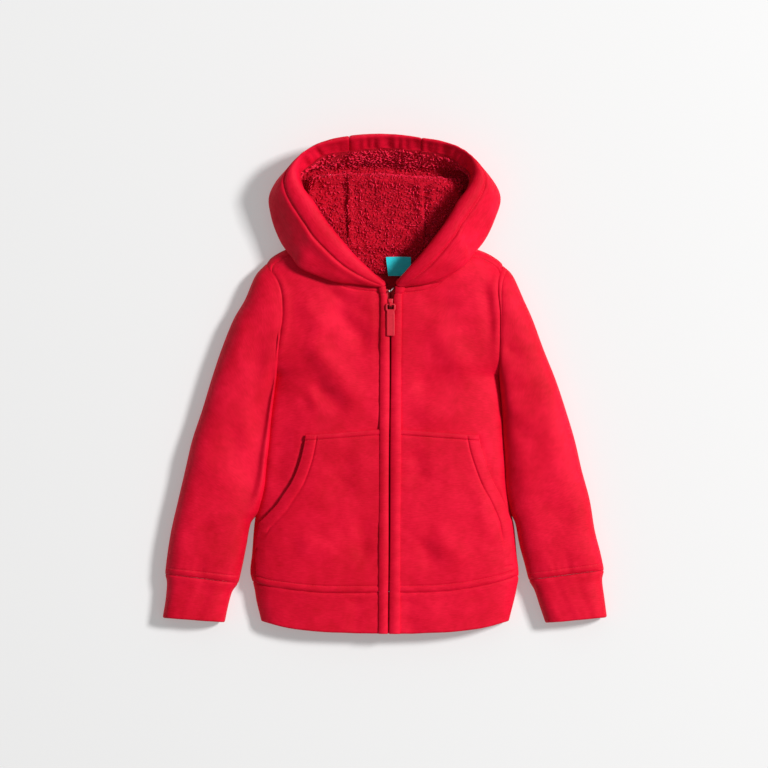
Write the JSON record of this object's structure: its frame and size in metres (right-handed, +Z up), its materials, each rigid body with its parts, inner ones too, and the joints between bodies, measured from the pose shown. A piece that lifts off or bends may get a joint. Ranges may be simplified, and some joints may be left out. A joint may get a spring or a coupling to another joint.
{
  "type": "kids hoodie",
  "caption": "Child's full-zip fleece hoodie laid out face up, with an open lined hood, two kangaroo pockets, and a deep hem band and cuffs.",
  "frame": {"origin": "on the underside, where it rests, beneath the zip line at mid-length of the body", "axes": "+Z up out of the front, +Y from hem to hood, +X towards the wearer's left sleeve"},
  "size_m": [0.5206, 0.5888, 0.0544],
  "materials": {
    "red_fleece": "brushed heavy fleece, matt",
    "red_sherpa": "curly sherpa pile, matt",
    "teal_label": "plain woven label, satin",
    "red_zip": "woven zip tape with nylon coil",
    "red_enamel": "satin enamel"
  },
  "bodies": {
    "garment": {"back_panel": "red_fleece", "front_left": "red_fleece", "front_right": "red_fleece", "front_edge_left": "red_fleece", "front_edge_right": "red_fleece", "hem_band": "red_fleece", "pocket_left": "red_fleece", "pocket_right": "red_fleece", "sleeve_left": "red_fleece", "sleeve_right": "red_fleece", "cuff_left": "red_fleece", "cuff_right": "red_fleece", "hood_left": "red_fleece", "hood_right": "red_fleece", "hood_centre": "red_fleece", "lining_left": "red_sherpa", "lining_right": "red_sherpa", "lining_centre": "red_sherpa", "neck_label": "teal_label", "zip_tape_left": "red_zip", "zip_tape_right": "red_zip", "zip_chain": "red_zip", "zip_slider": "red_enamel"},
    "zip_pull": {"zip_pull": "red_enamel"}
  },
  "joints": [
    {"name": "pull_hinge", "type": "hinge", "parent": "garment", "child": "zip_pull", "pos_m": [0.00131, 0.182, 0.0375], "axis": [-1, 0, 0], "range_deg": [0, 150]}
  ]
}
